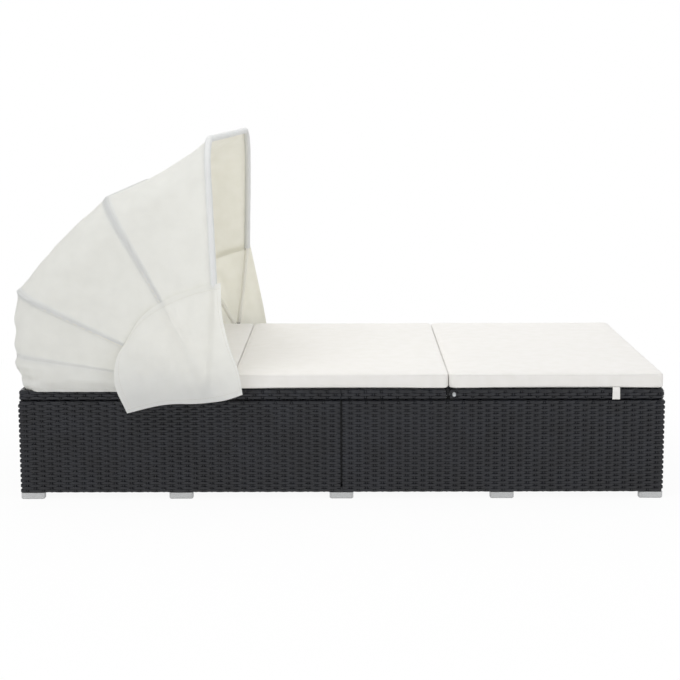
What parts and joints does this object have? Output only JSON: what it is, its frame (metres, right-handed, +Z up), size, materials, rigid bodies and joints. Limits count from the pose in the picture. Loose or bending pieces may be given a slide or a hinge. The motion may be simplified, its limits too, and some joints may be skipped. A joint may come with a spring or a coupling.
{
  "type": "outdoor daybed",
  "caption": "Woven outdoor daybed with a tilting backrest and footrest on props, fitted cushions and a folding fabric hood on hinged bows.",
  "frame": {"origin": "on the floor under the middle of the base, which is the middle of the underside of the bounding box to within 6 mm", "axes": "+X towards the foot end, +Y towards the left side of someone lying with the head at -X, +Z up"},
  "size_m": [2.0088, 1.3012, 1.1261],
  "materials": {
    "woven_rattan": "flat extruded strands, hand woven, satin",
    "coated_steel": "powder coated, fine satin",
    "zinc_steel": "bright zinc plated",
    "glide_plastic": "moulded, light grey, satin",
    "cushion_fabric": "plain woven polyester cover",
    "hood_fabric": "plain woven polyester"
  },
  "bodies": {
    "base": {"right_head_side_frame": "coated_steel", "right_head_side_weave": "woven_rattan", "right_foot_side_frame": "coated_steel", "right_foot_side_weave": "woven_rattan", "right_glide_1": "glide_plastic", "right_glide_2": "glide_plastic", "right_glide_3": "glide_plastic", "right_glide_4": "glide_plastic", "right_glide_5": "glide_plastic", "left_head_side_frame": "coated_steel", "left_head_side_weave": "woven_rattan", "left_foot_side_frame": "coated_steel", "left_foot_side_weave": "woven_rattan", "left_glide_1": "glide_plastic", "left_glide_2": "glide_plastic", "left_glide_3": "glide_plastic", "left_glide_4": "glide_plastic", "left_glide_5": "glide_plastic", "head_end_frame": "coated_steel", "foot_end_frame": "coated_steel", "head_end_weave": "woven_rattan", "foot_end_weave": "woven_rattan", "centre_cross_frame": "coated_steel", "seat_frame": "coated_steel", "seat_deck_weave": "woven_rattan", "seat_cushion": "cushion_fabric", "right_backrest_hinge_bolt": "zinc_steel", "right_footrest_hinge_bolt": "zinc_steel", "right_backrest_rack": "coated_steel", "right_footrest_rack": "coated_steel", "left_backrest_hinge_bolt": "zinc_steel", "left_footrest_hinge_bolt": "zinc_steel", "left_backrest_rack": "coated_steel", "left_footrest_rack": "coated_steel"},
    "backrest": {"backrest_frame": "coated_steel", "backrest_deck_weave": "woven_rattan", "backrest_cushion": "cushion_fabric", "right_hood_bracket": "zinc_steel", "left_hood_bracket": "zinc_steel", "right_hood_pivot_bolt": "zinc_steel", "left_hood_pivot_bolt": "zinc_steel", "hood_rear_bow": "coated_steel", "hood_skirt": "hood_fabric"},
    "backrest_prop": {"backrest_prop": "coated_steel"},
    "footrest": {"footrest_frame": "coated_steel", "footrest_deck_weave": "woven_rattan", "footrest_cushion": "cushion_fabric", "right_cushion_strap": "cushion_fabric", "left_cushion_strap": "cushion_fabric"},
    "footrest_prop": {"footrest_prop": "coated_steel"},
    "lower_bow": {"hood_lower_bow": "coated_steel", "hood_rear_gore": "hood_fabric"},
    "middle_bow": {"hood_middle_bow": "coated_steel", "hood_middle_gore": "hood_fabric", "right_hood_flap": "hood_fabric", "left_hood_flap": "hood_fabric"},
    "front_bow": {"hood_front_bow": "coated_steel", "hood_front_gore": "hood_fabric"}
  },
  "joints": [
    {"name": "backrest_hinge", "type": "hinge", "parent": "base", "child": "backrest", "pos_m": [-0.349, 0, 0.3283], "axis": [0, 1, 0], "range_deg": [0, 55], "deforming": ["backrest_cushion"]},
    {"name": "backrest_prop_pivot", "type": "hinge", "parent": "backrest", "child": "backrest_prop", "pos_m": [-0.549, 0, 0.3], "axis": [0, 1, 0], "range_deg": [-125, 0]},
    {"name": "footrest_hinge", "type": "hinge", "parent": "base", "child": "footrest", "pos_m": [0.349, 0, 0.3283], "axis": [0, -1, 0], "range_deg": [0, 35], "deforming": ["footrest_cushion"]},
    {"name": "footrest_prop_pivot", "type": "hinge", "parent": "footrest", "child": "footrest_prop", "pos_m": [0.549, 0, 0.3], "axis": [0, -1, 0], "range_deg": [-85.5, 0]},
    {"name": "lower_bow_pivot", "type": "hinge", "parent": "backrest", "child": "lower_bow", "pos_m": [-0.4, 0, 0.3623], "axis": [0, -1, 0], "range_deg": [0, 14.6], "deforming": ["hood_rear_gore"]},
    {"name": "middle_bow_pivot", "type": "hinge", "parent": "lower_bow", "child": "middle_bow", "pos_m": [-0.4, 0, 0.3623], "axis": [0, -1, 0], "range_deg": [0, 32.4], "deforming": ["hood_middle_gore", "right_hood_flap", "left_hood_flap"]},
    {"name": "front_bow_pivot", "type": "hinge", "parent": "middle_bow", "child": "front_bow", "pos_m": [-0.4, 0, 0.3623], "axis": [0, -1, 0], "range_deg": [0, 26.6], "deforming": ["hood_front_gore"]}
  ],
  "couplings": [
    {"joint": "backrest_prop_pivot", "follows": "backrest_hinge", "ratio": -2.2709},
    {"joint": "footrest_prop_pivot", "follows": "footrest_hinge", "ratio": -2.4366},
    {"joint": "middle_bow_pivot", "follows": "lower_bow_pivot", "ratio": 2.2123},
    {"joint": "front_bow_pivot", "follows": "lower_bow_pivot", "ratio": 1.8151}
  ]
}
